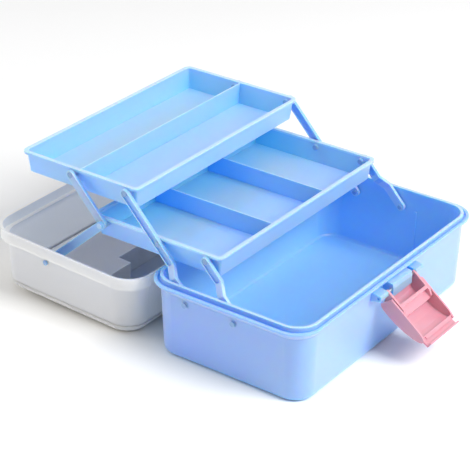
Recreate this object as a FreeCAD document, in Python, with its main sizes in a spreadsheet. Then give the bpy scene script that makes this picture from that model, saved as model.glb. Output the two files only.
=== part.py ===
import FreeCAD, Part
import math
import os
import Sketcher

# Single-sided cantilever box: open at rest, lid turned back, both trays raised to the rear.
# X runs along the length, +Y to the rear, Z up from the foot; plain millimetres and degrees.
doc = FreeCAD.newDocument("TieredBox")
sheet = doc.addObject("Spreadsheet::Sheet", "Sizes")

CELLS = [
    # base tub
    ("rim_x", 160.0), ("rim_y", 91.2), ("rim_round", 22.7), ("base_tall", 88.4),
    ("base_wall", 3.3), ("base_draft", 2.3), ("base_floor", 4.6), ("foot_round", 7.0),
    ("cave_draft", 2.9), ("cave_round", 4.0),
    ("lip_out_x", 10.0), ("lip_out_y", 8.1), ("lip_grow", 7.3), ("lip_down", 3.6),
    ("lip_thick", 2.4), ("lip_drop", 6.6), ("lip_slant", 42.0), ("lip_edge", 3.2),
    ("groove_deep", 2.2),
    # lid
    ("part_gap", 0.3), ("band_tall", 12.9), ("band_step", 5.8), ("band_wall", 2.7),
    ("lid_wall", 1.8), ("lid_tall", 69.3), ("lid_skin", 1.9), ("lid_draft", 3.5),
    ("lid_round", 10.0), ("wall_round", 1.0), ("ledge_up", 11.4), ("lid_open", 177.8),
    # handle recess and handle
    ("pad_front", -42.0), ("pad_rear", 22.0), ("slot_rear", 5.0), ("pad_wide", 48.0),
    ("pad_end", 35.0), ("pad_deep", 30.0), ("pad_wall", 1.9),
    ("grip_arm", 43.0), ("grip_y", 12.0), ("grip_drop", 10.0), ("grip_end_gap", 17.0),
    ("grip_wide", 14.0), ("grip_thick", 13.0), ("arm_wide", 10.0), ("grip_pin", 2.5),
    ("ear_wide", 4.0), ("ear_gap", 0.6), ("grip_wall", 4.2),
    # rear hinge
    ("hinge_out", 5.9), ("hinge_down", 9.6), ("hinge_round", 4.6), ("hinge_pin", 2.0),
    ("hinge_in", 64.0), ("hinge_lid", 13.2), ("hinge_lug", 8.0), ("hinge_gap", 0.4),
    # latch
    ("latch_out", 3.7), ("latch_down", 15.0), ("latch_round", 3.2), ("latch_pin", 1.6),
    ("latch_open", 128.0), ("latch_half", 30.5), ("latch_long", 69.0), ("latch_skin", 2.2),
    ("latch_base", 15.0), ("latch_tip", 5.0), ("arm_in", 24.4), ("arm_thick", 2.9),
    ("lug_in", 27.7), ("lug_out", 42.0), ("block_half", 18.4),
    ("hook_low", 18.0), ("hook_thick", 3.4), ("catch_out", 3.0), ("catch_high", 17.5),
    # trays, measured in from the rim of the base
    ("low_in_x", 14.8), ("low_in_y", 16.2), ("low_ahead", 17.5), ("low_behind", 16.7),
    ("low_tall", 24.8), ("up_in_x", 0.4), ("up_in_y", 10.0), ("up_ahead", 13.2),
    ("up_tall", 25.6), ("pin_down", 6.5), ("tray_edge", 3.0), ("tray_lip", 2.8),
    ("tray_wall", 1.5), ("tray_floor", 1.5), ("tray_draft", 7.2), ("tray_round", 8.0),
    ("tray_foot", 2.4), ("div_thick", 1.6), ("div_low", 2.1), ("low_div", 47.3),
    ("up_div", 7.1), ("up_div_low", 0.6),
    # linkage
    ("foot_front", -9.5), ("foot_gap", 60.0), ("foot_down", 20.0), ("swing_open", 46.83),
    ("low_arm", 66.5), ("up_arm", 61.0), ("lane_gap", 0.4),
    ("bar_wide", 9.6), ("bar_thick", 3.7), ("bar_in", 0.8), ("bar_web", 1.4),
    ("bar_edge", 1.2), ("foot_in", 6.1), ("jog_from", 27.0), ("jog_to", 40.0),
    ("link_gap", 0.2), ("link_thick", 3.2), ("link_wide", 9.4),
    ("lid_pin_y", -23.5), ("lid_pin_up", 17.5),
    ("pivot", 1.7), ("fit", 0.05), ("head", 3.0), ("head_thick", 1.3),
    ("rib_y", -27.0), ("rib_wide", 3.0), ("rib_proud", 0.9), ("rib_down", 3.0),
]
for row, (name, number) in enumerate(CELLS, start=1):
    sheet.set("A%d" % row, name)
    sheet.set("B%d" % row, "%g" % number)
    sheet.setAlias("B%d" % row, name)
doc.recompute()


class Size:
    """A number together with the sheet expression that gives it."""

    def __init__(self, text, number):
        self.text = text
        self.number = number

    def join(self, other, sign, number, swap=False):
        a, b = self.text, other.text if isinstance(other, Size) else "%g" % other
        if swap:
            a, b = b, a
        return Size("(%s %s %s)" % (a, sign, b), number)

    def __add__(self, other):
        return self.join(other, "+", self.number + value(other))

    def __radd__(self, other):
        return self.join(other, "+", self.number + value(other), True)

    def __sub__(self, other):
        return self.join(other, "-", self.number - value(other))

    def __rsub__(self, other):
        return self.join(other, "-", value(other) - self.number, True)

    def __mul__(self, other):
        return self.join(other, "*", self.number * value(other))

    def __rmul__(self, other):
        return self.join(other, "*", self.number * value(other), True)

    def __truediv__(self, other):
        return self.join(other, "/", self.number / value(other))

    def __neg__(self):
        return Size("(-1 * %s)" % self.text, -self.number)


def value(item):
    return item.number if isinstance(item, Size) else float(item)


def size(name):
    return Size("Sizes.%s" % name, float(sheet.get(name)))


def cosine(angle):
    return Size("cos(%s)" % angle.text, math.cos(math.radians(angle.number)))


def sine(angle):
    return Size("sin(%s)" % angle.text, math.sin(math.radians(angle.number)))


def slope(angle):
    return Size("tan(%s)" % angle.text, math.tan(math.radians(angle.number)))


def bind(thing, prop, item):
    """Bind one property to the sheet, or set it when it is a plain number."""
    if isinstance(item, Size):
        thing.setExpression(prop, item.text)
    elif prop.startswith("Placement.Base."):
        thing.setExpression(prop, "%g" % item)
    else:
        setattr(thing, prop, item)


def new_body(label):
    body = doc.addObject("PartDesign::Body", label)
    body.Label = label
    return body


def place(body, x, y, z, turn=None):
    """Put a body at its rest place, turned about the X axis."""
    body.Placement = FreeCAD.Placement(
        FreeCAD.Vector(value(x), value(y), value(z)),
        FreeCAD.Rotation(FreeCAD.Vector(1, 0, 0), value(turn) if turn is not None else 0.0))
    for axis, item in (("x", x), ("y", y), ("z", z)):
        bind(body, "Placement.Base.%s" % axis, item)
    if isinstance(turn, Size):
        body.setExpression("Placement.Rotation.Angle", turn.text)


def sketch_on(body, plane, offset=0.0):
    """Empty sketch on one of the body's own planes: XY, YZ or XZ, moved along its normal."""
    sketch = body.newObject("Sketcher::SketchObject", "Outline")
    for item in body.Origin.OriginFeatures:
        if item.Role == "%s_Plane" % plane:
            sketch.AttachmentSupport = [(item, "")]
    sketch.MapMode = "FlatFace"
    sketch.AttachmentOffset = FreeCAD.Placement(
        FreeCAD.Vector(0, 0, value(offset)), FreeCAD.Rotation())
    if isinstance(offset, Size):
        sketch.setExpression("AttachmentOffset.Base.z", offset.text)
    return sketch


def fix(sketch, kind, place_at, item):
    """One dimension of a sketch, bound to the sheet."""
    index = sketch.addConstraint(Sketcher.Constraint(kind, *place_at, value(item)))
    if isinstance(item, Size):
        sketch.setExpression("Constraints[%d]" % index, item.text)


def polygon(sketch, corners):
    """Closed straight-sided outline with every corner placed from the sheet."""
    first = sketch.GeometryCount
    count = len(corners)
    for k in range(count):
        a, b = corners[k], corners[(k + 1) % count]
        sketch.addGeometry(Part.LineSegment(
            FreeCAD.Vector(value(a[0]), value(a[1]), 0),
            FreeCAD.Vector(value(b[0]), value(b[1]), 0)))
    for k in range(count):
        after = first + (k + 1) % count
        sketch.addConstraint(Sketcher.Constraint("Coincident", first + k, 2, after, 1))
        fix(sketch, "DistanceX", (-1, 1, first + k, 1), corners[k][0])
        fix(sketch, "DistanceY", (-1, 1, first + k, 1), corners[k][1])


def circle(sketch, x, y, radius):
    index = sketch.addGeometry(Part.Circle(
        FreeCAD.Vector(value(x), value(y), 0), FreeCAD.Vector(0, 0, 1), value(radius)))
    fix(sketch, "DistanceX", (-1, 1, index, 3), x)
    fix(sketch, "DistanceY", (-1, 1, index, 3), y)
    fix(sketch, "Radius", (index,), radius)


def rounded(sketch, x, y0, y1, radius):
    """Rounded rectangle from -x to x and y0 to y1, all corners of one radius."""
    first = sketch.GeometryCount
    hx, a, b, r = value(x), value(y0), value(y1), value(radius)
    vec = FreeCAD.Vector
    for p, q in (((-hx + r, a), (hx - r, a)), ((hx, a + r), (hx, b - r)),
                 ((hx - r, b), (-hx + r, b)), ((-hx, b - r), (-hx, a + r))):
        sketch.addGeometry(Part.LineSegment(vec(p[0], p[1], 0), vec(q[0], q[1], 0)))
    for k, (cx, cy) in enumerate(((hx - r, a + r), (hx - r, b - r),
                                  (-hx + r, b - r), (-hx + r, a + r))):
        start = math.radians(-90 + 90 * k)
        ring = Part.Circle(vec(cx, cy, 0), vec(0, 0, 1), r)
        sketch.addGeometry(Part.ArcOfCircle(ring, start, start + math.pi / 2))
    for k in range(4):
        sketch.addConstraint(Sketcher.Constraint("Tangent", first + k, 2, first + 4 + k, 1))
        after = first + (k + 1) % 4
        sketch.addConstraint(Sketcher.Constraint("Tangent", first + 4 + k, 2, after, 1))
        sketch.addConstraint(Sketcher.Constraint(
            "Vertical" if k % 2 else "Horizontal", first + k))
    for k in range(1, 4):
        sketch.addConstraint(Sketcher.Constraint("Equal", first + 4, first + 4 + k))
    fix(sketch, "Radius", (first + 4,), radius)
    fix(sketch, "DistanceX", (-1, 1, first + 1, 1), x)
    fix(sketch, "DistanceX", (first + 3, 1, -1, 1), x)
    fix(sketch, "DistanceY", (-1, 1, first, 1), y0)
    fix(sketch, "DistanceY", (-1, 1, first + 2, 1), y1)


def slot_outline(sketch, y0, y1, half):
    """Stadium along the first sketch axis, with round ends centred on y0 and y1."""
    first = sketch.GeometryCount
    a, b, r = value(y0), value(y1), value(half)
    vec = FreeCAD.Vector
    sketch.addGeometry(Part.LineSegment(vec(a, -r, 0), vec(b, -r, 0)))
    ring = Part.Circle(vec(b, 0, 0), vec(0, 0, 1), r)
    sketch.addGeometry(Part.ArcOfCircle(ring, -math.pi / 2, math.pi / 2))
    sketch.addGeometry(Part.LineSegment(vec(b, r, 0), vec(a, r, 0)))
    ring = Part.Circle(vec(a, 0, 0), vec(0, 0, 1), r)
    sketch.addGeometry(Part.ArcOfCircle(ring, math.pi / 2, 3 * math.pi / 2))
    for k in range(4):
        after = first + (k + 1) % 4
        sketch.addConstraint(Sketcher.Constraint("Tangent", first + k, 2, after, 1))
    sketch.addConstraint(Sketcher.Constraint("Horizontal", first))
    fix(sketch, "Radius", (first + 1,), half)
    fix(sketch, "DistanceX", (-1, 1, first + 1, 3), y1)
    fix(sketch, "DistanceX", (-1, 1, first + 3, 3), y0)
    fix(sketch, "DistanceY", (-1, 1, first + 1, 3), 0.0)


def extrude(body, sketch, length, kind="Pad", back=False, taper=None, middle=False):
    """Pad or pocket of one sketch; back turns it round, middle makes it symmetric."""
    feature = body.newObject("PartDesign::%s" % kind, kind)
    feature.Profile = sketch
    bind(feature, "Length", length)
    feature.Reversed = back
    if middle:
        feature.Midplane = True
    if taper is not None:
        bind(feature, "TaperAngle", taper)
    sketch.Visibility = False
    doc.recompute()
    return feature


def dress(body, feature, kind, chosen, amount):
    """Fillet or chamfer on the edges that the test picks."""
    names = []
    for k, edge in enumerate(feature.Shape.Edges, start=1):
        if chosen(edge):
            names.append("Edge%d" % k)
    item = body.newObject("PartDesign::%s" % kind, kind)
    item.Base = (feature, names)
    bind(item, "Radius" if kind == "Fillet" else "Size", amount)
    doc.recompute()
    return item


def at_height(level, reach=0.05):
    """Test for edges that lie flat at one height."""
    return lambda e: (abs(e.BoundBox.ZMin - value(level)) < reach
                      and abs(e.BoundBox.ZMax - value(level)) < reach)


def bar_x(body, outline, x0, x1, kind="Pad"):
    """Extrude an outline drawn on the YZ plane from x0 to x1."""
    sketch = sketch_on(body, "YZ", x0)
    outline(sketch)
    return extrude(body, sketch, x1 - x0, kind, back=(kind == "Pocket"))


def bar_y(body, outline, y0, y1):
    """Extrude an outline drawn on the XZ plane from y0 to y1."""
    sketch = sketch_on(body, "XZ", -y0)
    outline(sketch)
    return extrude(body, sketch, y1 - y0, back=True)


SIDES = (("near", -1), ("far", 1))


def span(side, a, b):
    """Limits in X of a piece from a to b away from the middle, on one side."""
    return (a, b) if side > 0 else (-b, -a)


fit = size("fit")
pivot = size("pivot")
bore = pivot + fit

# Base tub: drafted shell with a rounded foot, a bead round the top, a groove and a lip.
rim_x, rim_y, rim_round = size("rim_x"), size("rim_y"), size("rim_round")
base_tall, base_wall = size("base_tall"), size("base_wall")
base_draft, base_floor = size("base_draft"), size("base_floor")
cave_draft = size("cave_draft")
lip_x, lip_y = rim_x + size("lip_out_x"), rim_y + size("lip_out_y")
lip_round, lip_top = rim_round + size("lip_grow"), base_tall - size("lip_down")
lip_thick = size("lip_thick")
shrink = base_tall * slope(base_draft)

base = new_body("base_tub")
place(base, 0.0, 0.0, 0.0)
outer_x, outer_y = rim_x + base_wall, rim_y + base_wall
foot = sketch_on(base, "XY")
rounded(foot, outer_x - shrink, -(outer_y - shrink), outer_y - shrink,
        rim_round + base_wall - shrink)
shell = extrude(base, foot, base_tall, taper=base_draft)
shell = dress(base, shell, "Fillet", at_height(0.0), size("foot_round"))

under = sketch_on(base, "XY", lip_top - lip_thick)
rounded(under, lip_x, -lip_y, lip_y, lip_round)
extrude(base, under, size("lip_drop"), back=True, taper=-size("lip_slant"))
over = sketch_on(base, "XY", lip_top - lip_thick)
rounded(over, lip_x, -lip_y, lip_y, lip_round)
extrude(base, over, lip_thick)
edge = size("lip_edge")
ring = sketch_on(base, "XY", lip_top)
rounded(ring, lip_x - edge, -(lip_y - edge), lip_y - edge, lip_round - edge)
rounded(ring, outer_x, -outer_y, outer_y, rim_round + base_wall)
extrude(base, ring, size("groove_deep"), "Pocket")

# latch lugs, the block between the latch arms and the rear hinge lugs
latch_y, latch_z = -(lip_y + size("latch_out")), base_tall - size("latch_down")
latch_round = size("latch_round")
wall_in = -(rim_y - 1.5)


def lug_side(sketch):
    polygon(sketch, [(wall_in, latch_z - 7.0), (latch_y + 1.4, latch_z - 3.6),
                     (latch_y - 1.6, latch_z - 3.4), (latch_y - 3.4, latch_z - 1.4),
                     (latch_y - 3.4, latch_z + 1.4), (latch_y - 1.6, latch_z + 3.4),
                     (wall_in, latch_z + 6.0)])


def block_side(sketch):
    polygon(sketch, [(wall_in, latch_z - 5.0), (latch_y + 6.2, latch_z - 5.5),
                     (latch_y + 3.0, latch_z - 8.8), (latch_y - 0.8, latch_z - 9.2),
                     (latch_y - 3.2, latch_z - 7.4), (latch_y - 3.4, latch_z + 2.0),
                     (latch_y - 2.4, latch_z + 6.8), (latch_y + 0.6, latch_z + 7.6),
                     (wall_in, latch_z + 7.6)])


for name, side in SIDES:
    bar_x(base, lug_side, *span(side, size("lug_in"), size("lug_out")))
bar_x(base, block_side, -size("block_half"), size("block_half"))

hinge_y, hinge_z = lip_y + size("hinge_out"), base_tall - size("hinge_down")
hinge_round, hinge_at = size("hinge_round"), rim_x - size("hinge_in")
hinge_half = size("hinge_lid") / 2
hinge_gap = size("hinge_gap")
rear_in = rim_y - 1.0


def base_lug(sketch):
    polygon(sketch, [(rear_in, hinge_z - 20.0), (hinge_y + 1.5, hinge_z - 4.0),
                     (hinge_y + 4.1, hinge_z - 1.6), (hinge_y + 4.1, hinge_z + 1.6),
                     (hinge_y + 1.6, hinge_z + 4.1), (rear_in, hinge_z + 4.1)])


for name, side in SIDES:
    for start in (hinge_at - hinge_half - hinge_gap - size("hinge_lug"),
                  hinge_at + hinge_half + hinge_gap):
        limits = span(side, start, start + size("hinge_lug"))
        bar_x(base, base_lug, *limits)
        bar_x(base, lambda s: circle(s, hinge_y, hinge_z, hinge_round), *limits)

# round seats outside the end walls for the lever pin heads
foot_front, foot_gap = size("foot_front"), size("foot_gap")
foot_z = base_tall - size("foot_down")
foot_rear = foot_front + foot_gap
seat_x = outer_x - 0.2
for name, side in SIDES:
    for y in (foot_front, foot_rear):
        bar_x(base, lambda s, y=y: circle(s, y, foot_z, size("head") + 1.2),
              *span(side, rim_x, seat_x))

# the hollow, with a rib on each end wall, then every bore
hollow_deep = base_tall - base_floor
cave = sketch_on(base, "XY", base_tall)
rounded(cave, rim_x, -rim_y, rim_y, rim_round)
hollow = extrude(base, cave, hollow_deep, "Pocket", taper=-cave_draft)
dress(base, hollow, "Fillet", at_height(base_floor), size("cave_round"))
rib_half, rib_proud = size("rib_wide") / 2, size("rib_proud")
rib_low, rib_high = base_floor - 0.5, foot_z - size("rib_down")
rib_foot = rim_x - (base_tall - rib_low) * slope(cave_draft)
rib_head = rim_x - (base_tall - rib_high) * slope(cave_draft)
for name, side in SIDES:
    bar_y(base, lambda s: polygon(s, [
        (side * (rib_foot - rib_proud), rib_low), (side * (rib_foot + 1.0), rib_low),
        (side * (rib_head + 1.0), rib_high), (side * (rib_head - rib_proud), rib_high)]),
        size("rib_y") - rib_half, size("rib_y") + rib_half)
for name, side in SIDES:
    for y in (foot_front, foot_rear):
        bar_x(base, lambda s, y=y: circle(s, y, foot_z, bore),
              *span(side, rim_x - 8.0, outer_x + 2.0), "Pocket")
bar_x(base, lambda s: circle(s, latch_y, latch_z, size("latch_pin") + fit),
      -size("lug_out") - 1.0, size("lug_out") + 1.0, "Pocket")
for name, side in SIDES:
    bar_x(base, lambda s: circle(s, hinge_y, hinge_z, size("hinge_pin") + fit),
          *span(side, hinge_at - 30.0, hinge_at + 30.0), "Pocket")
print("base", base.Shape.isValid(), round(base.Shape.Volume / 1000, 1))


def hypotenuse(a, b):
    return Size("hypot(%s; %s)" % (a.text, b.text), math.hypot(a.number, b.number))


def bearing(a, b):
    """Angle of the direction that runs a along Y and b along Z."""
    return Size("atan2(%s; %s)" % (b.text, a.text),
                math.degrees(math.atan2(b.number, a.number)))


def lid_place(thing):
    """Turn a piece of the closed lid about the rear hinge to the open rest pose."""
    turn = -lid_open
    y = hinge_y - (hinge_y * cosine(turn) - hinge_z * sine(turn))
    z = hinge_z - (hinge_y * sine(turn) + hinge_z * cosine(turn))
    place(thing, 0.0, y, z, turn)


# Lid, drawn closed: outer band, drafted wall, flat top with a stepped handle recess.
lid_open = size("lid_open")
lid_low = lip_top + size("part_gap")
band_top = lid_low + size("band_tall")
band_step = size("band_step")
lid_top, lid_draft = base_tall + size("lid_tall"), size("lid_draft")
lid_skin, lid_wall = size("lid_skin"), size("lid_wall")

lid = new_body("lid_shell")
lid_place(lid)
band = sketch_on(lid, "XY", lid_low)
rounded(band, lip_x, -lip_y, lip_y, lip_round)
extrude(lid, band, size("band_tall"))
wall = sketch_on(lid, "XY", band_top)
wall_round = lip_round - size("wall_round")
rounded(wall, lip_x - band_step, -(lip_y - band_step), lip_y - band_step, wall_round)
crown = extrude(lid, wall, lid_top - band_top, taper=-lid_draft)
dress(lid, crown, "Fillet", at_height(lid_top), size("lid_round"))

catch_out = size("catch_out")
catch_z = latch_z + size("catch_high")
bar_x(lid, lambda s: polygon(s, [
    (-(lip_y - 1.0), catch_z - 5.0), (-(lip_y + catch_out), catch_z - 3.6),
    (-(lip_y + catch_out), catch_z - 0.4), (-(lip_y - 1.0), catch_z)]),
    -(size("block_half") - 1.4), size("block_half") - 1.4)


def lid_knuckle(sketch):
    polygon(sketch, [(lip_y - 1.0, band_top - 0.8), (lip_y - 1.0, lid_low + 0.3),
                     (lip_y + 0.9, lid_low), (hinge_y - 4.1, hinge_z + 2.0),
                     (hinge_y - 4.1, hinge_z - 1.6), (hinge_y - 1.8, hinge_z - 4.1),
                     (hinge_y + 1.8, hinge_z - 4.1), (hinge_y + 4.1, hinge_z - 1.8),
                     (hinge_y + 4.1, hinge_z + 2.6)])


for name, side in SIDES:
    limits = span(side, hinge_at - hinge_half, hinge_at + hinge_half)
    bar_x(lid, lid_knuckle, *limits)
    bar_x(lid, lambda s: circle(s, hinge_y, hinge_z, hinge_round), *limits)

ledge = size("ledge_up")
mouth = sketch_on(lid, "XY", lid_low)
mouth_in = size("band_wall")
rounded(mouth, lip_x - mouth_in, -(lip_y - mouth_in), lip_y - mouth_in, lip_round - mouth_in)
extrude(lid, mouth, ledge, "Pocket", back=True)
inner = sketch_on(lid, "XY", lid_low + ledge)
inner_in = band_step + lid_wall
rounded(inner, lip_x - inner_in, -(lip_y - inner_in), lip_y - inner_in, wall_round - lid_wall)
extrude(lid, inner, lid_top - lid_skin - lid_low - ledge, "Pocket", back=True,
        taper=-lid_draft)

pad_front, pad_rear = size("pad_front"), size("pad_rear")
slot_rear, pad_out = size("slot_rear"), rim_x - size("pad_end")
pad_in = pad_out - size("pad_wide")
pad_deep, pad_wall = size("pad_deep"), size("pad_wall")
pad_low = lid_top - pad_deep


def recess(sketch, inset):
    """Stepped outline of the handle recess: a slot with a wider pad at each end."""
    out_x, in_x = pad_out - inset, pad_in + inset
    front, rear, mid = pad_front + inset, pad_rear - inset, slot_rear - inset
    polygon(sketch, [(-out_x, front), (out_x, front), (out_x, rear), (in_x, rear),
                     (in_x, mid), (-in_x, mid), (-in_x, rear), (-out_x, rear)])


plateau = sketch_on(lid, "XY", pad_low)
recess(plateau, 0.0)
extrude(lid, plateau, pad_deep - 1.0)
well = sketch_on(lid, "XY", lid_top)
recess(well, pad_wall)
extrude(lid, well, pad_deep - pad_wall, "Pocket")

grip_y, grip_z = size("grip_y"), lid_top - size("grip_drop")
grip_x, arm_wide = pad_out - size("grip_end_gap"), size("arm_wide")
ear_wide, ear_gap = size("ear_wide"), size("ear_gap")


def ear(sketch):
    polygon(sketch, [(grip_y - 6.0, pad_low + 1.0), (grip_y + 6.0, pad_low + 1.0),
                     (grip_y + 5.0, grip_z + 3.0), (grip_y + 2.6, grip_z + 5.4),
                     (grip_y - 2.6, grip_z + 5.4), (grip_y - 5.0, grip_z + 3.0)])


for name, side in SIDES:
    bar_x(lid, ear, *span(side, grip_x + ear_gap, grip_x + ear_gap + ear_wide))
    bar_x(lid, ear, *span(side, grip_x - arm_wide - ear_gap - ear_wide,
                          grip_x - arm_wide - ear_gap))

lid_pin_y, lid_pin_z = size("lid_pin_y"), base_tall + size("lid_pin_up")
low_x = rim_x - size("low_in_x")
lane = low_x + size("lane_gap")
head, head_thick = size("head"), size("head_thick")
head_out = lane + size("bar_in") + size("bar_web") + 0.1
link_lane = lane + size("bar_thick") + 0.2 + size("link_gap")
link_end = link_lane + size("link_thick")
lid_seat = lip_x - band_step + 0.2
for name, side in SIDES:
    bar_x(lid, lambda s: circle(s, lid_pin_y, lid_pin_z, head + 1.6),
          *span(side, link_end + 0.6, lid_seat - 2.6))
    bar_x(lid, lambda s: circle(s, lid_pin_y, lid_pin_z, head + 0.8),
          *span(side, lid_seat - 2.6, lid_seat))
    bar_x(lid, lambda s: circle(s, lid_pin_y, lid_pin_z, bore),
          *span(side, link_end, lid_seat + 1.0), "Pocket")
    bar_x(lid, lambda s: circle(s, grip_y, grip_z, size("grip_pin") + fit),
          *span(side, grip_x - 16.0, grip_x + 8.0), "Pocket")
    bar_x(lid, lambda s: circle(s, hinge_y, hinge_z, size("hinge_pin") + fit),
          *span(side, hinge_at - 16.0, hinge_at + 16.0), "Pocket")
print("lid", lid.Shape.isValid(), round(lid.Shape.Volume / 1000, 1))

# Folding handle, drawn folded into the recess of the closed lid.
grip_arm, grip_wide, grip_thick = size("grip_arm"), size("grip_wide"), size("grip_thick")
grip_end = grip_thick / 2
handle = new_body("handle")
lid_place(handle)
bail = sketch_on(handle, "XY", grip_z)
grip_front = grip_y - grip_arm - grip_wide / 2
grip_back = grip_y - grip_arm + grip_wide / 2
arm_in_x = grip_x - arm_wide
polygon(bail, [(-grip_x, grip_front), (grip_x, grip_front), (grip_x, grip_y + grip_end),
               (arm_in_x, grip_y + grip_end), (arm_in_x, grip_back), (-arm_in_x, grip_back),
               (-arm_in_x, grip_y + grip_end), (-grip_x, grip_y + grip_end)])
bow = extrude(handle, bail, grip_thick, middle=True)


def arm_ends(edge):
    box = edge.BoundBox
    return box.YMin > value(grip_y + grip_end) - 0.05 and box.ZLength < 0.05


def grip_edges(edge):
    box = edge.BoundBox
    return (box.YMax < value(grip_back) + 0.05 and box.ZLength < 0.05
            and box.XLength > 20.0)


def bow_corners(edge):
    box = edge.BoundBox
    return box.YMax < value(grip_front) + 0.05 and box.ZLength > 5.0


bow = dress(handle, bow, "Fillet", bow_corners, 9.0)
bow = dress(handle, bow, "Fillet", arm_ends, grip_end - 0.2)
bow = dress(handle, bow, "Fillet", grip_edges, 4.0)
under = sketch_on(handle, "XY", grip_z - grip_thick / 2)
grip_in = size("grip_wall")
polygon(under, [(-arm_in_x, grip_front + grip_in), (arm_in_x, grip_front + grip_in),
                (arm_in_x, grip_back - grip_in), (-arm_in_x, grip_back - grip_in)])
extrude(handle, under, grip_thick - grip_in, "Pocket", back=True)
for name, side in SIDES:
    bar_x(handle, lambda s: circle(s, grip_y, grip_z, size("grip_pin") + fit),
          *span(side, grip_x - arm_wide - 1.0, grip_x + 1.0), "Pocket")
print("handle", handle.Shape.isValid(), round(handle.Shape.Volume / 1000, 1))

# Latch, drawn upright as when closed, with its pivot at its own origin.
latch = new_body("latch")
place(latch, 0.0, latch_y, latch_z, size("latch_open"))
half, skin = size("latch_half"), size("latch_skin")
latch_long, root, tip = size("latch_long"), size("latch_base"), size("latch_tip")
side_top = latch_long - 7.0
rim = 2.5
bar_x(latch, lambda s: polygon(s, [
    (rim, 9.0), (-4.0, 7.0), (-(root - 4.0), 4.6), (-(root - 1.4), 6.4),
    (-(root - 0.2), 11.0), (-root, 20.0), (-(root - 0.8), side_top * 0.5),
    (-(root - 2.6), side_top * 0.68), (-(tip + 4.6), side_top * 0.84),
    (-(tip + 1.6), side_top * 0.94), (-(tip - 1.4), side_top), (rim - 2.0, side_top),
    (rim, side_top * 0.85)]), -half, half)
inner = root - skin
bar_x(latch, lambda s: polygon(s, [
    (rim + 2.0, -4.0), (-(inner - 2.4), -4.0), (-(inner - 1.6), 6.4), (-inner, 11.0),
    (-inner, 20.0), (-(inner - 0.8), side_top * 0.5), (-(inner - 2.6), side_top * 0.68),
    (-(tip + 4.2 - skin), side_top * 0.84), (-(tip + 0.8 - skin), side_top * 0.94 - 0.6),
    (rim + 2.0, side_top * 0.94 - 0.6)]), -(half - skin), half - skin, "Pocket")
bar_x(latch, lambda s: polygon(s, [
    (-(tip - 0.8), side_top - 2.0), (-(tip - 2.0), latch_long), (3.6, latch_long),
    (3.6, latch_long - 1.9), (-(tip - skin - 2.0), latch_long - 1.9),
    (-(tip - skin - 0.8), side_top - 2.0)]), -(half - skin), half - skin)
for name, side in SIDES:
    bar_x(latch, lambda s: polygon(s, [
        (-0.4, side_top - skin - 0.8), (-0.4, side_top + 0.4), (rim + 2.0, side_top + 0.4),
        (rim + 2.0, side_top - skin - 0.8)]), *span(side, half - 6.0, half - skin), "Pocket")
arm_in, arm_thick = size("arm_in"), size("arm_thick")
knuckle = size("latch_round")
for name, side in SIDES:
    limits = span(side, arm_in, arm_in + arm_thick)
    bar_x(latch, lambda s: polygon(s, [
        (-2.4, -2.2), (2.4, -2.2), (3.1, 0.0), (3.1, 24.0), (0.0, 30.0),
        (-(root - skin) + 0.2, 30.0), (-(root - skin) - 0.4, 8.0), (-4.2, 2.6)]), *limits)
hook_low, hook_thick = size("hook_low"), size("hook_thick")
bar_x(latch, lambda s: polygon(s, [
    (-(root - skin) - 0.4, hook_low), (3.1, hook_low), (3.1, hook_low + hook_thick),
    (-(root - skin) + 0.2, hook_low + hook_thick)]), -arm_in - 0.5, arm_in + 0.5)
bar_x(latch, lambda s: polygon(s, [
    (-(root - skin) - 0.4, hook_low + 2.0), (-2.4, hook_low + 2.0), (-2.4, hook_low + 13.0),
    (-(root - skin) + 0.2, hook_low + 13.0)]), -arm_in - 0.5, arm_in + 0.5)
bar_x(latch, lambda s: circle(s, 0.0, 0.0, size("latch_pin") + fit),
      -half - 1.0, half + 1.0, "Pocket")
print("latch", latch.Shape.isValid(), round(latch.Shape.Volume / 1000, 1))

# Pivot positions of the linkage in the open pose.
swing = size("swing_open")
low_arm, up_arm = size("low_arm"), size("up_arm")
low_z = foot_z + low_arm * sine(swing)
up_z = low_z + up_arm * sine(swing)
low_front_y = foot_front + low_arm * cosine(swing)
low_mid_y = foot_rear + low_arm * cosine(swing)
low_wide = 2 * (rim_y - size("low_in_y") / 2)
low_back_y = low_front_y - size("low_ahead") + low_wide - size("low_behind")
up_front_y = low_mid_y + up_arm * cosine(swing)
up_back_y = low_back_y + up_arm * cosine(swing)
foot_lane = rim_x - size("foot_in")
bar_thick, bar_wide = size("bar_thick"), size("bar_wide")
tray_edge, tray_lip, tray_wall = size("tray_edge"), size("tray_lip"), size("tray_wall")
tray_floor, tray_draft = size("tray_floor"), size("tray_draft")
tray_round = size("tray_round")
pin_down = size("pin_down")
seat_in = tray_edge + tray_wall + 1.6


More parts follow.
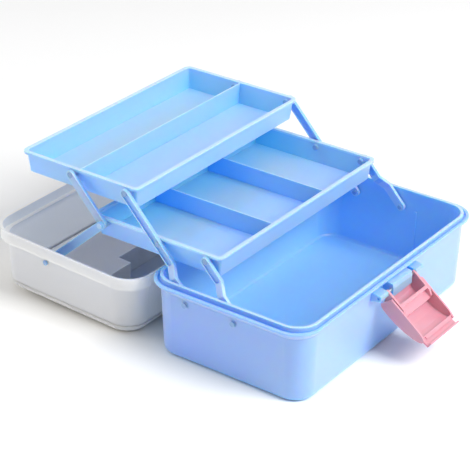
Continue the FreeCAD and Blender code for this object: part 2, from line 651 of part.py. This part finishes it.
def tray(label, half_x, wide, tall, pins, front_y, rim_z):
    """Drafted tray with a thin lip; its own origin is the foot of its front edge."""
    body = new_body(label)
    place(body, 0.0, front_y, rim_z - tall)
    inset = tray_edge + tall * slope(tray_draft)
    sketch = sketch_on(body, "XY")
    rounded(sketch, half_x - inset, inset, wide - inset, tray_round - inset)
    tub = extrude(body, sketch, tall, taper=tray_draft)
    dress(body, tub, "Fillet", at_height(0.0), size("tray_foot"))
    sketch = sketch_on(body, "XY", tall - tray_lip)
    rounded(sketch, half_x, 0.0, wide, tray_round)
    extrude(body, sketch, tray_lip)
    pin_z = tall - pin_down
    for name, side in SIDES:
        for y in pins:
            bar_x(body, lambda s, y=y: circle(s, y - front_y, pin_z, head + 1.4),
                  *span(side, half_x - 6.0, lane - 0.2))
    sketch = sketch_on(body, "XY", tall)
    hollow_in = tray_edge + tray_wall
    rounded(sketch, half_x - hollow_in, hollow_in, wide - hollow_in, tray_round - hollow_in)
    extrude(body, sketch, tall - tray_floor, "Pocket", taper=-tray_draft)
    for name, side in SIDES:
        for y in pins:
            bar_x(body, lambda s, y=y: circle(s, y - front_y, pin_z, head + 0.7),
                  *span(side, half_x - seat_in, half_x - tray_edge - 0.5))
    return body


def bore_tray(body, half_x, tall, pins, front_y):
    for name, side in SIDES:
        for y in pins:
            bar_x(body, lambda s, y=y: circle(s, y - front_y, tall - pin_down, bore),
                  *span(side, half_x - seat_in - 1.0, lane + 1.0), "Pocket")
    print(body.Label, body.Shape.isValid(), round(body.Shape.Volume / 1000, 1))


def divider_side(sketch, low, high, tall, sunk):
    """Trapezium that meets both drafted walls and the floor."""
    lean = (tall - tray_floor) * slope(tray_draft)
    grip_in = 0.4
    top = tall - sunk
    polygon(sketch, [(low - grip_in, top), (low + lean - grip_in, tray_floor - grip_in),
                     (high - lean + grip_in, tray_floor - grip_in), (high + grip_in, top)])


div_half = size("div_thick") / 2
low_tall = size("low_tall")
low_pins = (low_front_y, low_mid_y, low_back_y)
low_front = low_front_y - size("low_ahead")
low_tray = tray("lower_tray", low_x, low_wide, low_tall, low_pins, low_front,
                low_z + pin_down)
edge_in = tray_edge + tray_wall
for name, side in SIDES:
    bar_x(low_tray, lambda s: divider_side(s, edge_in, low_wide - edge_in, low_tall, size("div_low")),
          *span(side, size("low_div") - div_half, size("low_div") + div_half))
bore_tray(low_tray, low_x, low_tall, low_pins, low_front)

up_x, up_wide, up_tall = low_x - size("up_in_x"), low_wide - size("up_in_y"), size("up_tall")
up_pins = (up_front_y, up_back_y)
up_front = up_front_y - size("up_ahead")
up_tray = tray("upper_tray", up_x, up_wide, up_tall, up_pins, up_front, up_z + pin_down)
up_div = up_back_y - up_front - size("up_div")
bar_y(up_tray, lambda s: divider_side(s, -(up_x - edge_in), up_x - edge_in, up_tall,
                                      size("up_div_low")), up_div - div_half, up_div + div_half)
bore_tray(up_tray, up_x, up_tall, up_pins, up_front)


def strip(sketch, side, inner, outer, low, high):
    """Straight bar seen from above, between two distances from the middle."""
    polygon(sketch, [(side * inner, low), (side * outer, low), (side * outer, high),
                     (side * inner, high)])


def lever(label, side, pivots, foot_y, foot_height, turn, jogged, hollow=True):
    """Flat bar with round ends and a grooved face, drawn along Y from its first pivot."""
    body = new_body(label)
    place(body, 0.0, foot_y, foot_height, turn)
    r = bar_wide / 2
    far = pivots[-1] + r
    inner, outer = lane, lane + bar_thick
    sketch = sketch_on(body, "XY")
    if jogged:
        shift, start, stop = foot_lane - lane, size("jog_from"), size("jog_to")
        polygon(sketch, [(side * (inner + shift), -r), (side * (inner + shift), start),
                         (side * inner, stop), (side * inner, far), (side * outer, far),
                         (side * outer, stop + 1.4), (side * (outer + shift), start + 1.4),
                         (side * (outer + shift), -r)])
    else:
        strip(sketch, side, inner, outer, -r, far)
        stop = -size("bar_edge")
    solid = extrude(body, sketch, bar_wide, middle=True)
    limits = (value(-r), value(far))

    def ends(edge):
        box = edge.BoundBox
        return (box.YLength < 0.02 and box.ZLength < 0.02
                and min(abs(box.YMin - k) for k in limits) < 0.05)

    dress(body, solid, "Fillet", ends, r - 0.1)
    channel = r - size("bar_edge")
    bar_in = size("bar_in")
    if hollow:
        bar_x(body, lambda s: slot_outline(s, stop + 5.0, pivots[-1], channel),
              *span(side, lane + bar_in + size("bar_web"), outer + 0.5), "Pocket")
        marks = [stop] + [p for p in pivots if value(p) > value(stop)]
        for a, b in zip(marks, marks[1:]):
            bar_x(body, lambda s, a=a, b=b: slot_outline(s, a + 9.0, b - 9.5, channel),
                  *span(side, lane - 0.5, lane + bar_in), "Pocket")
    else:
        for p in pivots:
            bar_x(body, lambda s, p=p: circle(s, p, 0.0, head + 0.6),
                  *span(side, lane + bar_in + size("bar_web"), outer + 0.5), "Pocket")
    for p in pivots:
        bar_x(body, lambda s, p=p: circle(s, p, 0.0, bore),
              *span(side, lane - 1.0, foot_lane + bar_thick + 1.0), "Pocket")
    print(label, body.Shape.isValid(), round(body.Shape.Volume / 1000, 1))
    return body


levers = []
for name, side in SIDES:
    levers.append(lever("long_lever_" + name, side, [0.0, low_arm, low_arm + up_arm],
                        foot_rear, foot_z, swing, True))
    levers.append(lever("short_lever_" + name, side, [0.0, low_arm], foot_front, foot_z,
                        swing, True))
    levers.append(lever("rear_lever_" + name, side, [0.0, up_arm], low_back_y, low_z,
                        swing, False, hollow=False))

# Lid links: channels that turn on the lid's pins; the button at the other end has no pin,
# so that end is free of the lower tray.
out_y = (lid_pin_y - hinge_y) * cosine(-lid_open) - (lid_pin_z - hinge_z) * sine(-lid_open)
out_z = (lid_pin_y - hinge_y) * sine(-lid_open) + (lid_pin_z - hinge_z) * cosine(-lid_open)
reach_y = hinge_y + out_y - low_back_y
reach_z = hinge_z + out_z - low_z
link_long = hypotenuse(reach_y, reach_z)
link_turn = bearing(reach_y, reach_z)
link_wide = size("link_wide")
for name, side in SIDES:
    link = new_body("lid_link_" + name)
    place(link, 0.0, low_back_y, low_z, link_turn)
    bar_x(link, lambda s: slot_outline(s, 0.0, link_long, link_wide / 2),
          *span(side, link_lane, link_end))
    bar_x(link, lambda s: slot_outline(s, 11.0, link_long - 11.0,
                                       link_wide / 2 - size("bar_edge")),
          *span(side, link_lane + 1.4, link_end + 0.5), "Pocket")
    bar_x(link, lambda s: circle(s, 0.0, 0.0, head),
          *span(side, link_end - 0.5, link_end + head_thick))
    bar_x(link, lambda s: circle(s, link_long, 0.0, bore),
          *span(side, link_lane - 1.0, link_end + 1.0), "Pocket")
    print(link.Label, link.Shape.isValid(), round(link.Shape.Volume / 1000, 1))


def rod(x0, x1, y, z, radius):
    """Plain round rod along X."""
    item = doc.addObject("Part::Cylinder", "Rod")
    low = x0 if value(x0) < value(x1) else x1
    high = x1 if value(x0) < value(x1) else x0
    bind(item, "Radius", radius)
    bind(item, "Height", high - low)
    item.Placement = FreeCAD.Placement(
        FreeCAD.Vector(value(low), value(y), value(z)),
        FreeCAD.Rotation(FreeCAD.Vector(0, 1, 0), 90))
    for axis, number in (("x", low), ("y", y), ("z", z)):
        bind(item, "Placement.Base.%s" % axis, number)
    return item


def pin_set(label, pins, moved=None):
    """Headed pins that ride on one piece: shank limits, inner and outer head limits."""
    rods = []
    for y, z, radius, shank, heads in pins:
        for name, side in SIDES:
            rods.append(rod(*span(side, *shank), y, z, radius))
            for low, high, wide in heads:
                rods.append(rod(*span(side, low, high), y, z, wide))
    whole = doc.addObject("Part::MultiFuse", label)
    whole.Label = label
    whole.Shapes = rods
    doc.recompute()
    if moved:
        moved(whole)
    for item in rods:
        item.Visibility = False
    print(label, whole.Shape.isValid(), len(whole.Shape.Solids))
    return whole


foot_in = foot_lane - 0.1
sets = [
    pin_set("base_lever_pins", [
        (y, foot_z, pivot, (foot_in - head_thick, seat_x + head_thick),
         ((foot_in - head_thick, foot_in, head - 0.4), (seat_x, seat_x + head_thick, head)))
        for y in (foot_front, foot_rear)]),
    pin_set("hinge_pins", [
        (hinge_y, hinge_z, size("hinge_pin"),
         (hinge_at - hinge_half - size("hinge_lug") - 2.0,
          hinge_at + hinge_half + size("hinge_lug") + 1.4), ())]),
    pin_set("lid_link_pins", [
        (lid_pin_y, lid_pin_z, pivot, (link_lane + 0.2, lid_seat + head_thick),
         ((lid_seat, lid_seat + head_thick, head),))], lid_place),
    pin_set("handle_pins", [
        (grip_y, grip_z, size("grip_pin"),
         (arm_in_x - ear_gap - ear_wide - 0.8, grip_x + ear_gap + ear_wide + 0.8), ())],
        lid_place),
    pin_set("lower_tray_pins", [
        (y, low_z, pivot, (low_x - seat_in - head_thick, head_out + 1.2),
         ((low_x - seat_in - head_thick, low_x - seat_in, head),
          (head_out, head_out + head_thick, head)))
        for y in low_pins]),
    pin_set("upper_tray_pins", [
        (y, up_z, pivot, (up_x - seat_in - head_thick, head_out + 1.2),
         ((up_x - seat_in - head_thick, up_x - seat_in, head),
          (head_out, head_out + head_thick, head)))
        for y in up_pins]),
]
pin_long = size("lug_out") - 2.0
latch_rod = rod(-pin_long, pin_long, latch_y, latch_z, size("latch_pin"))
latch_rod.Label = "latch_pin"
doc.recompute()

nodes = [item for item in doc.Objects if item.TypeId == "PartDesign::Body"]
nodes += sets + [latch_rod]
os.makedirs("parts", exist_ok=True)
total = 0
for item in doc.Objects:
    if "Invalid" in item.State or "Error" in item.State:
        raise RuntimeError("%s is not sound: %s" % (item.Label, item.State))
for node in nodes:
    if not node.Shape.isValid():
        raise RuntimeError("%s has a bad shape" % node.Label)
    node.Shape.exportStep(os.path.join("parts", node.Label + ".step"))
    points, facets = node.Shape.tessellate(0.2)
    total += len(facets)
    box = node.Shape.BoundBox
    print("%-20s %6.1f cm3 %5d facets  Y %7.1f %7.1f  Z %6.1f %6.1f" % (
        node.Label, node.Shape.Volume / 1000, len(facets), box.YMin, box.YMax,
        box.ZMin, box.ZMax))
print("nodes", len(nodes), "facets", total)
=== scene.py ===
import bpy
import numpy as np
from mathutils import Matrix, Vector


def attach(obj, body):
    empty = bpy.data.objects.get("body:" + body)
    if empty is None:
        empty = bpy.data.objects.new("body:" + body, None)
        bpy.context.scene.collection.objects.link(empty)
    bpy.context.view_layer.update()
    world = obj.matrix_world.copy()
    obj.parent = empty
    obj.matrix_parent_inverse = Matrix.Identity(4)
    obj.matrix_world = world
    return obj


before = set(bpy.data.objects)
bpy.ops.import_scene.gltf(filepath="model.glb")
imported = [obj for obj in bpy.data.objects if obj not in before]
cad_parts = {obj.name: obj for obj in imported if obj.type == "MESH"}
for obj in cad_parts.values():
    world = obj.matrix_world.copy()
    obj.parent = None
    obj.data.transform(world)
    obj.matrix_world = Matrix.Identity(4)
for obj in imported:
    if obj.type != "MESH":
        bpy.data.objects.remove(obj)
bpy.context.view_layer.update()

# Base tub: one injection moulding in sky-blue polypropylene, satin from a lightly blasted mould.
# The cavity has a painted glow, a purer blue than the outside, and nooks a painted shade purer
# still.
TUB = (0.26, 0.46, 0.79)
TUB_DRIFT = (0.25, 0.44, 0.78)
# The inside colour is painted glow: the light that would come through the thin walls.
TUB_INSIDE_PAINTED_GLOW = (0.25, 0.55, 0.99)
TUB_GLOW = (0.12, 0.50, 1.0)
TUB_MIDDLE = (0.0, 0.0, 0.06)
TUB_RIM = 0.0879
# Painted highlight for rim tops.
PALE_PAINTED_HIGHLIGHT = (0.50, 0.68, 0.97)
# Painted shade for nooks, found by ambient occlusion within a reach in metres.
NOOK_PAINTED_SHADE = (0.08, 0.47, 0.99)
NOOK_SHADE_REACH = 0.09


class Signal:
    """One value on its way to the shader; arithmetic on it adds Math nodes."""

    def __init__(self, finish, socket):
        self.finish = finish
        self.socket = socket

    def math(self, operation, first, second):
        return self.finish.node("ShaderNodeMath", {"operation": operation},
                                {0: first, 1: second})["Value"]

    def __add__(self, other):
        return self.math("ADD", self, other)

    def __radd__(self, other):
        return self.math("ADD", other, self)

    def __sub__(self, other):
        return self.math("SUBTRACT", self, other)

    def __rsub__(self, other):
        return self.math("SUBTRACT", other, self)

    def __mul__(self, other):
        return self.math("MULTIPLY", self, other)

    def __rmul__(self, other):
        return self.math("MULTIPLY", other, self)

    def __gt__(self, other):
        return self.math("GREATER_THAN", self, other)


class Outputs:
    """The outputs of one node, each as a signal."""

    def __init__(self, finish, node):
        self.finish = finish
        self.node = node

    def __getitem__(self, name):
        return Signal(self.finish, self.node.outputs[name])


class Finish:
    """The material of one kind of moulding or metal, built node by node."""

    def __init__(self, name, **constants):
        self.material = bpy.data.materials.new(name)
        self.material.use_nodes = True
        self.tree = self.material.node_tree
        self.shader = self.tree.nodes["Principled BSDF"]
        for socket, number in constants.items():
            self.shader.inputs[socket.replace("_", " ")].default_value = number
        self.here = self.node("ShaderNodeTexCoord")["Object"]

    def node(self, kind, settings=None, sockets=None):
        made = self.tree.nodes.new(kind)
        for name, setting in (settings or {}).items():
            setattr(made, name, setting)
        for name, item in (sockets or {}).items():
            if isinstance(item, Signal):
                self.tree.links.new(item.socket, made.inputs[name])
            else:
                made.inputs[name].default_value = item
        return Outputs(self, made)

    def noise(self, scale, detail=3.0):
        return self.node("ShaderNodeTexNoise", None,
                         {"Vector": self.here, "Scale": scale, "Detail": detail})["Fac"]

    def blend(self, first, second, share):
        """Mix of two colours, each a colour or a signal, by a signal from 0 to 1."""
        colours = [(*c, 1.0) if isinstance(c, tuple) else c for c in (first, second)]
        mixed = self.node("ShaderNodeMix", {"data_type": "RGBA"},
                          {0: share, 6: colours[0], 7: colours[1]})
        return Signal(self, mixed.node.outputs[2])

    def ramp(self, value, low, high):
        """0 below the low value, 1 above the high one and a straight line between."""
        return self.node("ShaderNodeMapRange", None,
                         {"Value": value, "From Min": low, "From Max": high})["Result"]

    def hollow(self, middle):
        """1 on faces turned to a middle point, which are the inside of a tub, else 0."""
        facing = self.node("ShaderNodeTexCoord")["Normal"]
        inward = self.node("ShaderNodeVectorMath", {"operation": "SUBTRACT"},
                           {0: middle, 1: self.here})["Vector"]
        lean = self.node("ShaderNodeVectorMath", {"operation": "DOT_PRODUCT"},
                         {0: inward, 1: facing})["Value"]
        return self.ramp(lean, 0.0, 0.004)

    def axis(self, name):
        """One coordinate of the point in metres."""
        return self.node("ShaderNodeSeparateXYZ", None, {"Vector": self.here})[name]

    def set(self, **links):
        for socket, signal in links.items():
            self.tree.links.new(signal.socket, self.shader.inputs[socket.replace("_", " ")])

    def bump(self, height, distance, strength=1.0):
        made = self.node("ShaderNodeBump", None,
                         {"Height": height, "Distance": distance, "Strength": strength})
        self.set(Normal=made["Normal"])


def moulded(name, colours, roughness, grain, glow, reach, inside=None, pale=None, nook=None):
    """Moulded plastic: slow colour drift, blasted grain in the gloss and faint flow waves.

    inside is a painted light colour and the middle point its faces look at; pale is a painted
    highlight colour and a function of the finish that gives its share; nook is the colour of
    painted shade where little open room is in reach."""
    finish = Finish(name, Subsurface_Weight=1.0, Subsurface_Scale=reach, Sheen_Weight=0.4,
                    Specular_IOR_Level=0.9, Coat_Weight=0.6, Coat_Roughness=0.3)
    finish.shader.inputs["Subsurface Radius"].default_value = glow
    tint = finish.blend(*colours, finish.noise(9.0))
    # Painted light: the inside colour on faces turned to the middle point.
    if inside:
        tint = finish.blend(tint, inside[0], finish.hollow(inside[1]))
    # Painted shade: the nook colour where ambient occlusion finds little open room.
    if nook:
        room = finish.node("ShaderNodeAmbientOcclusion", {"samples": 8},
                           {"Distance": NOOK_SHADE_REACH})["AO"]
        tint = finish.blend(nook, tint, finish.ramp(room, 0.10, 0.5))
    # Painted highlight: the pale colour over the share that the function gives.
    if pale:
        tint = finish.blend(tint, pale[0], pale[1](finish))
    pits = finish.noise(2600.0, 2.0)
    scuff = finish.noise(140.0, 5.0)
    finish.set(Base_Color=tint,
               Roughness=roughness + 0.10 * (pits - 0.5) + 0.08 * (scuff - 0.5))
    finish.bump(pits * grain + finish.noise(16.0, 1.0) * 0.00016, 1.0)
    return finish.material


def dress(material, *names, soft=0.00035):
    """Gives CAD nodes their material and a small moulded round on every sharp edge."""
    for name in names:
        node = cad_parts[name]
        node.data.materials.clear()
        node.data.materials.append(material)
        weld = node.modifiers.new("weld", "WELD")
        weld.merge_threshold = 0.00001
        edge = node.modifiers.new("edge", "BEVEL")
        edge.width = soft
        edge.segments = 2
        edge.limit_method = "ANGLE"
        edge.angle_limit = np.radians(32.0)
        edge.harden_normals = False


def above(height):
    """Share of the painted highlight on a rim: everything of the piece above a height."""
    strength, soft = 0.6, 0.0004
    return lambda finish: strength * finish.ramp(finish.axis("Z"), height, height + soft)


dress(moulded("tub_polypropylene", (TUB, TUB_DRIFT), 0.42, 0.000012, TUB_GLOW, 0.012,
              inside=(TUB_INSIDE_PAINTED_GLOW, TUB_MIDDLE), pale=(PALE_PAINTED_HIGHLIGHT, above(TUB_RIM)), nook=NOOK_PAINTED_SHADE),
      "base_tub")

# Trays: the same blue in thinner walls, each with a painted highlight on its rim and divider
# tops and painted shade in its nooks.
TRAY = (0.31, 0.50, 0.96)
TRAY_DRIFT = (0.29, 0.48, 0.95)
for tray, rim in (("lower_tray", 0.1210), ("upper_tray", 0.1670)):
    dress(moulded(tray + "_polypropylene", (TRAY, TRAY_DRIFT), 0.42, 0.000012, TUB_GLOW, 0.012,
                  pale=(PALE_PAINTED_HIGHLIGHT, above(rim)), nook=NOOK_PAINTED_SHADE), tray)

# Lever arms and lid links: ribbed bars with a painted highlight on their rims round a deeper
# blue channel.
# The channel lies between two values of the distance from the box's middle plane.
BAR = (0.24, 0.50, 0.94)
BAR_DRIFT = (0.22, 0.48, 0.93)
BAR_RIM_PAINTED_HIGHLIGHT = (0.42, 0.62, 0.95)


def outside(low, high):
    """Share of the painted highlight on a bar's rims: the points whose side distance isn't
    between two values.
    """
    def share(finish):
        side = finish.axis("X")
        across = side.math("ABSOLUTE", side, 0.0)
        return 1.0 - (across > low) * (1.0 - (across > high))
    return share


for kind, low, high in (("long_lever", 0.1459, 0.1490), ("short_lever", 0.1459, 0.1490),
                        ("rear_lever", 0.1459, 0.1490), ("lid_link", 0.1500, 0.1538)):
    dress(moulded(kind + "_polypropylene", (BAR, BAR_DRIFT), 0.36, 0.00001, TUB_GLOW, 0.005,
                  pale=(BAR_RIM_PAINTED_HIGHLIGHT, outside(low, high))), kind + "_near", kind + "_far")

# Lever and link pins: domed nylon heads, darker and glossier than the bars they hold.
PIN = (0.24, 0.42, 0.74)
PIN_DRIFT = (0.21, 0.38, 0.70)
dress(moulded("pin_nylon", (PIN, PIN_DRIFT), 0.24, 0.000006, TUB_GLOW, 0.003),
      "base_lever_pins", "lower_tray_pins", "upper_tray_pins", "lid_link_pins")

# Lid: milky polypropylene, warm outside, with a painted shade inside that is cooler where the
# blue trays would shine on it.
# The middle point is that of the open cup.
MILK = (0.97, 0.925, 0.84)
MILK_DRIFT = (0.94, 0.895, 0.81)
MILK_INSIDE_PAINTED_SHADE = (0.78, 0.84, 0.91)
MILK_GLOW = (0.9, 0.95, 1.0)
MILK_MIDDLE = (0.0, 0.2, 0.05)
dress(moulded("milk_polypropylene", (MILK, MILK_DRIFT), 0.4, 0.00001, MILK_GLOW, 0.012,
              inside=(MILK_INSIDE_PAINTED_SHADE, MILK_MIDDLE)), "lid_shell")

# Inner round of the lid: the CAD lid is open along this corner, and this ring stands where the
# real moulding has its material. It is laid out on the closed lid and then turned open about
# the hinge.
HINGE_Y, HINGE_Z, LID_TURN = 0.1052, 0.0788, np.radians(-177.8)
CORE_X, CORE_Y, CORE_Z, CORE_ROUND = 0.15136, 0.08066, 0.1477, 0.01616


def lid_ring(outer, inner, steps=16, arc=10):
    """Points and faces of a closed ring round the lid.

    A rounded rectangle is the core path. At each of its points stands a quarter annulus
    between the two radii, in the upright plane through the path's outward normal: out by
    radius times cosine and up by radius times sine, the angle running from 0 to 90 degrees."""
    turn = np.linspace(0.0, np.pi / 2, steps + 1)
    spots, leans = [], []
    for quarter, (side_x, side_y) in enumerate(((1, 1), (-1, 1), (-1, -1), (1, -1))):
        for angle in turn + quarter * np.pi / 2:
            lean = np.array((np.cos(angle), np.sin(angle)))
            middle = np.array((side_x * (CORE_X - CORE_ROUND), side_y * (CORE_Y - CORE_ROUND)))
            spots.append(middle + CORE_ROUND * lean)
            leans.append(lean)
    rise = np.linspace(0.0, np.pi / 2, arc + 1)
    profile = [(outer * np.cos(r), outer * np.sin(r)) for r in rise]
    profile += [(inner * np.cos(r), inner * np.sin(r)) for r in rise[::-1]]
    points = [(*(spot + out * lean), CORE_Z + high)
              for spot, lean in zip(spots, leans) for out, high in profile]
    x, y, z = np.array(points).T
    y, z = y - HINGE_Y, z - HINGE_Z
    turned = np.stack((x, HINGE_Y + y * np.cos(LID_TURN) - z * np.sin(LID_TURN),
                       HINGE_Z + y * np.sin(LID_TURN) + z * np.cos(LID_TURN)), axis=1)
    count, wide = len(spots), len(profile)
    faces = [(k * wide + j, (k + 1) % count * wide + j,
              (k + 1) % count * wide + (j + 1) % wide, k * wide + (j + 1) % wide)
             for k in range(count) for j in range(wide)]
    return turned, faces


ring_mesh = bpy.data.meshes.new("lid_inner_round")
RING_OUTER, RING_INNER = 0.00998, 0.0081
ring_points, ring_faces = lid_ring(RING_OUTER, RING_INNER)
ring_mesh.from_pydata(ring_points.tolist(), [], ring_faces)
ring_mesh.polygons.foreach_set("use_smooth", [True] * len(ring_mesh.polygons))
ring = bpy.data.objects.new("lid_inner_round", ring_mesh)
bpy.context.collection.objects.link(ring)
ring_mesh.materials.append(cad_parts["lid_shell"].data.materials[0])
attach(ring, "lid")

# Latch and carrying handle: rose polypropylene that turns deep red in its own shade.
ROSE = (0.68, 0.31, 0.39)
ROSE_DRIFT = (0.65, 0.28, 0.36)
ROSE_GLOW = (1.0, 0.2, 0.25)
dress(moulded("rose_polypropylene", (ROSE, ROSE_DRIFT), 0.34, 0.00001, ROSE_GLOW, 0.002),
      "latch", "handle", soft=0.0006)

# Hinge, handle and latch pins: drawn zinc-plated wire.
ZINC = (0.60, 0.61, 0.63)
ZINC_DULL = (0.50, 0.51, 0.53)
steel = Finish("zinc_wire", Metallic=1.0)
steel.set(Base_Color=steel.blend(ZINC, ZINC_DULL, steel.noise(300.0)),
          Roughness=0.3 + 0.15 * steel.noise(800.0))
dress(steel.material, "hinge_pins", "handle_pins", "latch_pin")

# Table: a plain pale sheet that keeps the object's soft shadow.
TABLE_HALF = 6.0
PAPER, PAPER_BRIGHT = (0.96, 0.96, 0.96), (0.98, 0.98, 0.98)
sheet = bpy.data.meshes.new("table")
sheet.from_pydata([(-TABLE_HALF, -TABLE_HALF, 0), (TABLE_HALF, -TABLE_HALF, 0),
                   (TABLE_HALF, TABLE_HALF, 0), (-TABLE_HALF, TABLE_HALF, 0)],
                  [], [(0, 1, 2, 3)])
table = bpy.data.objects.new("table", sheet)
bpy.context.collection.objects.link(table)
paper = Finish("table_paper", Roughness=0.9)
paper.set(Base_Color=paper.blend(PAPER, PAPER_BRIGHT, paper.noise(4.0)))
table.data.materials.append(paper.material)

# Room: white to the camera and in reflections, a weaker fill on everything else.
ROOM_FILL = 0.36
ROOM_SEEN = 1.0
world = bpy.data.worlds.new("room")
bpy.context.scene.world = world
world.use_nodes = True
room = world.node_tree
sky = room.nodes["Background"]
path = room.nodes.new("ShaderNodeLightPath")
seen = room.nodes.new("ShaderNodeMath")
seen.operation = "MAXIMUM"
room.links.new(path.outputs["Is Camera Ray"], seen.inputs[0])
room.links.new(path.outputs["Is Glossy Ray"], seen.inputs[1])
level = room.nodes.new("ShaderNodeMapRange")
room.links.new(seen.outputs["Value"], level.inputs["Value"])
level.inputs["To Min"].default_value = ROOM_FILL
level.inputs["To Max"].default_value = ROOM_SEEN
room.links.new(level.outputs["Result"], sky.inputs["Strength"])
sky.inputs["Color"].default_value = (1.0, 1.0, 1.0, 1.0)


# Lamps: one large soft lamp high in front, weaker ones above and behind on the left.
# Places and widths are in metres, power in watts.
def lamp(name, place, aim, wide, watts):
    """A square soft lamp at one place, turned to look at another."""
    light = bpy.data.lights.new(name, "AREA")
    light.size = wide
    light.energy = watts
    thing = bpy.data.objects.new(name, light)
    thing.location = place
    thing.rotation_mode = "QUATERNION"
    thing.rotation_quaternion = (Vector(aim) - Vector(place)).to_track_quat("-Z", "Y")
    bpy.context.collection.objects.link(thing)


lamp("front_lamp", (0.3, -1.9, 1.9), (0.0, 0.05, 0.1), 1.4, 74.0)
lamp("top_lamp", (-0.3, 0.1, 2.4), (0.0, 0.1, 0.0), 1.6, 10.0)
lamp("left_lamp", (-0.9, 2.2, 1.1), (0.0, 0.2, 0.05), 1.2, 15.0)

# Camera: where the photographer stood, in front of the near left corner and above.
# Bearing, rise and roll in degrees, lens and sensor in millimetres, place in metres.
BEARING, RISE, ROLL = -54.31, 28.15, 0.67
LENS, SENSOR = 136.50, 36.0
PLACE = (-1.3891, -0.8917, 0.9764)
eye = bpy.data.cameras.new("eye")
eye.sensor_width = SENSOR
eye.lens = LENS
viewer = bpy.data.objects.new("eye", eye)
bearing, rise, roll = np.radians((BEARING, RISE, ROLL))
back = Vector((np.sin(bearing) * np.cos(rise), -np.cos(bearing) * np.cos(rise), np.sin(rise)))
across = Vector((np.cos(bearing), np.sin(bearing), 0.0))
up = back.cross(across)
right = across * np.cos(roll) + up * np.sin(roll)
top = up * np.cos(roll) - across * np.sin(roll)
turn = Matrix((right, top, back)).transposed().to_4x4()
viewer.matrix_world = Matrix.Translation(PLACE) @ turn
eye.clip_end = 30.0
bpy.context.collection.objects.link(viewer)
bpy.context.scene.camera = viewer
bpy.context.scene.view_settings.view_transform = "Standard"
